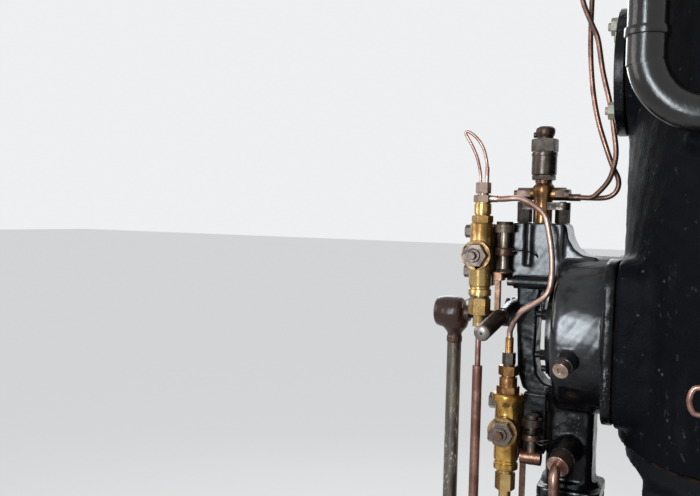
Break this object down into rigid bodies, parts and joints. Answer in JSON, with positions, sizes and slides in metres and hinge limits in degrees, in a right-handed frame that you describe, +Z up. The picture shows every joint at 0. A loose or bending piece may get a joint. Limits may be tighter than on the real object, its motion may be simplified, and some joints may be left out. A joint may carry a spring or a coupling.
{
  "type": "vertical stationary oil engine cylinder unit",
  "caption": "Vertical stationary oil engine: cylinder with a black valve chest, a fuel valve with thin copper pipes and brass plunger pumps worked by a rod and hand lever.",
  "frame": {"origin": "on the floor under the axis of the main cylinder", "axes": "+Z up along the cylinder, +X from the valve chest towards the cylinder, +Y away from the front"},
  "size_m": [1.2, 0.84, 2.32],
  "materials": {
    "black_paint": "glossy black paint, lumpy and dirty",
    "charcoal_paint": "dull charcoal paint with pale specks",
    "frame_paint": "dull dark paint",
    "polished_dark": "dark polished pipe",
    "brass": "yellow brass with brown patina",
    "dark_brass": "darker oily brass",
    "bronze": "brown bronze",
    "steel": "brown-grey steel",
    "gland_steel": "worn steel on brass rings",
    "spindle_steel": "greenish grey steel",
    "worn_rod": "steel with worn gold paint",
    "brown_iron": "glossy brown",
    "copper": "dull pink copper",
    "drain_copper": "brown copper alloy",
    "cream_bolt": "worn cream paint"
  },
  "bodies": {
    "engine": {"bedplate": "frame_paint", "frame_trunk": "frame_paint", "front_door": "frame_paint", "back_door": "frame_paint", "cylinder_jacket": "charcoal_paint", "cylinder_head": "charcoal_paint", "head_nuts": "steel", "side_cover": "charcoal_paint", "side_cover_bolts": "cream_bolt", "valve_chest": "black_paint", "chest_end_cover": "black_paint", "chest_pedestal": "black_paint", "fuel_valve_neck": "bronze", "fuel_valve_body": "steel", "valve_clamp": "black_paint", "right_union": "steel", "left_union": "steel", "blast_pipes": "copper", "pump_brackets": "black_paint", "upper_pump_body": "brass", "lower_pump_body": "dark_brass", "delivery_fittings": "brass", "delivery_nuts": "steel", "upper_gland": "gland_steel", "lower_gland": "gland_steel", "suction_fittings": "brass", "suction_pipes": "copper", "filter_box": "steel", "hairpin_pipe": "copper", "transfer_pipe": "copper", "rod_guide": "black_paint", "rocker_bracket": "black_paint", "regulator_bar": "black_paint", "test_plug": "brass", "drain_union": "drain_copper", "drain_pipe": "copper", "water_pipe": "polished_dark", "oil_loop": "copper"},
    "drive_gear": {"drive_rod": "worn_rod", "rod_eye": "brown_iron", "cross_arm": "black_paint", "lower_plunger": "spindle_steel"},
    "rocker": {"rocker_arm": "black_paint", "hand_lever": "steel"},
    "plunger": {"upper_plunger": "spindle_steel"}
  },
  "joints": [
    {"name": "drive_rod_lift", "type": "slide", "parent": "engine", "child": "drive_gear", "axis": [0, 0, 1], "range_m": [0, 0.016]},
    {"name": "rocker_turn", "type": "hinge", "parent": "engine", "child": "rocker", "pos_m": [-0.527, 0.075, 1.278], "axis": [-1, 0, 0], "range_deg": [0, 8.35]},
    {"name": "plunger_lift", "type": "slide", "parent": "engine", "child": "plunger", "axis": [0, 0, 1], "range_m": [0, 0.02265]}
  ],
  "couplings": [
    {"joint": "rocker_turn", "follows": "drive_rod_lift", "rad_per_m": 9.0909},
    {"joint": "plunger_lift", "follows": "drive_rod_lift", "ratio": 1.409}
  ]
}
